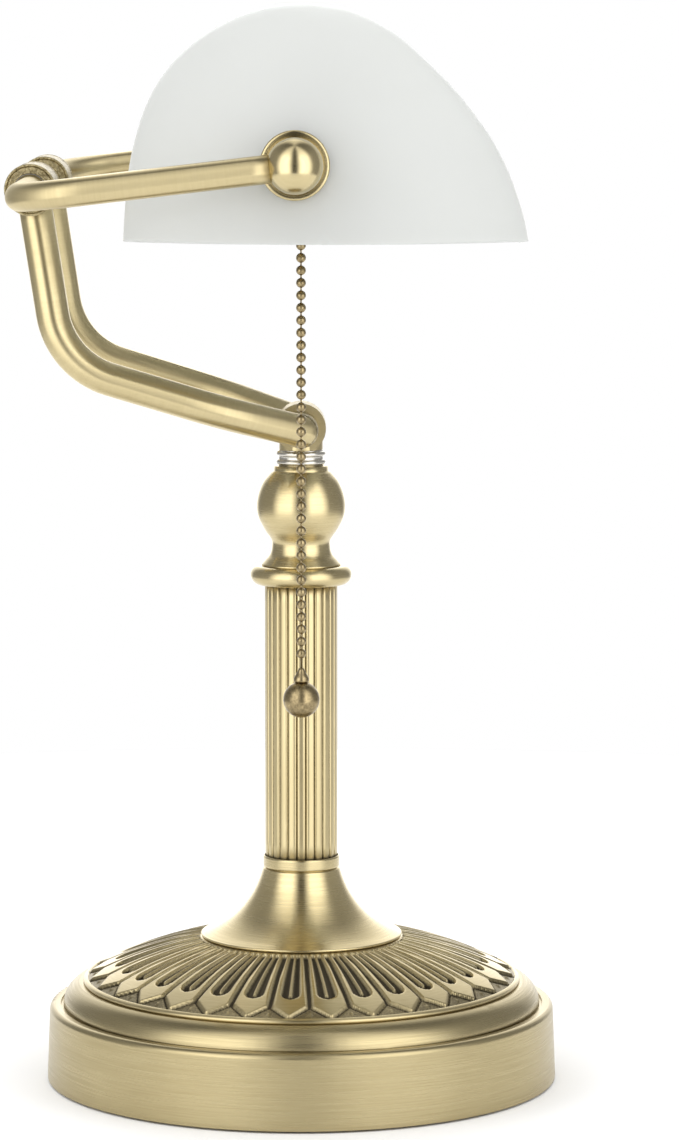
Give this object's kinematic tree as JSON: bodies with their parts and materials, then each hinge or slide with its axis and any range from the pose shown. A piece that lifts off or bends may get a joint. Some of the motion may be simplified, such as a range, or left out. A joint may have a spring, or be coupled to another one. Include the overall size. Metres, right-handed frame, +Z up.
{
  "type": "desk lamp",
  "caption": "Desk lamp with a round weighted foot, fluted column, hinged twin arms, a swivelling trough-shaped glass shade and a bead pull chain.",
  "frame": {"origin": "centre of the felt's underside, under the column", "axes": "+Z up, -Y towards the user, X along the shade, with the pull chain at -X"},
  "size_m": [0.3004, 0.1896, 0.3776],
  "materials": {
    "antique_brass": "circumferentially brushed, clear-lacquered antique brass plate",
    "relief_brass": "cast relief, raised lines rubbed bright and grooves left dark",
    "cast_brass": "cast, textured end faces, brushed round the rim",
    "dark_brass": "dark antique brass",
    "dark_bronze": "dark oil-rubbed bronze",
    "zinc_steel": "zinc plated",
    "cast_iron": "as cast, black",
    "opal_glass": "opal white glass, satin outside",
    "rubber": "soft rubber",
    "felt": "black felt",
    "dark_plastic": "moulded phenolic",
    "fibre": "vulcanised fibre",
    "copper": "stamped brass contact metal",
    "lead_wire": "insulated lamp wire",
    "nickel": "drawn and polished",
    "bulb_glass": "frosted",
    "filament": "diode filament strip"
  },
  "bodies": {
    "base": {"felt_pad": "felt", "bottom_cover": "zinc_steel", "base_shell": "antique_brass", "base_weight": "cast_iron", "hold_down_washer": "zinc_steel", "lock_washer": "zinc_steel", "hex_nut": "zinc_steel", "threaded_pipe": "zinc_steel", "cord_bushing": "dark_plastic", "petal_dome": "relief_brass", "bell_skirt": "antique_brass", "column_ring": "antique_brass", "fluted_column": "antique_brass", "cap_flange": "antique_brass", "vase": "antique_brass", "neck_rings": "antique_brass", "knuckle_post": "antique_brass", "column_lead": "lead_wire"},
    "lower_arm": {"knuckle_pin": "zinc_steel", "knuckle_washers": "fibre", "arm_eye_left": "cast_brass", "arm_eye_right": "cast_brass", "lower_tube_left": "antique_brass", "lower_tube_right": "antique_brass", "elbow_barrel_left": "cast_brass", "elbow_barrel_right": "cast_brass", "arm_lead": "lead_wire"},
    "yoke": {"yoke_tube": "antique_brass", "elbow_wave_washers": "zinc_steel", "elbow_collars": "dark_brass", "ball_left": "antique_brass", "ball_right": "antique_brass", "yoke_lead": "lead_wire"},
    "shade": {"shade_glass": "opal_glass", "outer_glass_washers": "rubber", "inner_glass_washers": "rubber", "shade_nuts": "zinc_steel", "cup_left": "antique_brass", "cup_right": "antique_brass", "nipple_left": "zinc_steel", "nipple_right": "zinc_steel", "socket_cap": "antique_brass", "socket_shell": "antique_brass", "socket_liner": "fibre", "screw_shell": "copper", "switch_body": "dark_plastic", "centre_contact": "copper", "chain_mouth": "antique_brass", "bulb_cap": "nickel", "bulb_tip": "nickel", "bulb_envelope": "bulb_glass", "bulb_filament": "filament"},
    "pull": {"pull_eyelet": "dark_bronze"},
    "chain": {"pull_chain": "dark_bronze", "chain_bell": "dark_bronze", "pull_ball": "dark_bronze"}
  },
  "joints": [
    {"name": "arm_tilt", "type": "hinge", "parent": "base", "child": "lower_arm", "pos_m": [0, 0, 0.231], "axis": [1, 0, 0], "range_deg": [-15, 25]},
    {"name": "yoke_tilt", "type": "hinge", "parent": "lower_arm", "child": "yoke", "pos_m": [0, 0.0908, 0.3157], "axis": [1, 0, 0], "range_deg": [-25, 12]},
    {"name": "shade_tilt", "type": "hinge", "parent": "yoke", "child": "shade", "pos_m": [0, 0.002, 0.3262], "axis": [1, 0, 0], "range_deg": [-175, 175], "deforming": ["pull_chain", "chain_bell", "pull_ball"]},
    {"name": "chain_pull", "type": "slide", "parent": "shade", "child": "pull", "axis": [0, 0, -1], "range_m": [0, 0.007], "stiffness_N_per_m": 600},
    {"name": "chain_swing", "type": "hinge", "parent": "pull", "child": "chain", "pos_m": [-0.085, 0, 0.3046], "axis": [1, 0, 0], "range_deg": [-75, 75]}
  ]
}
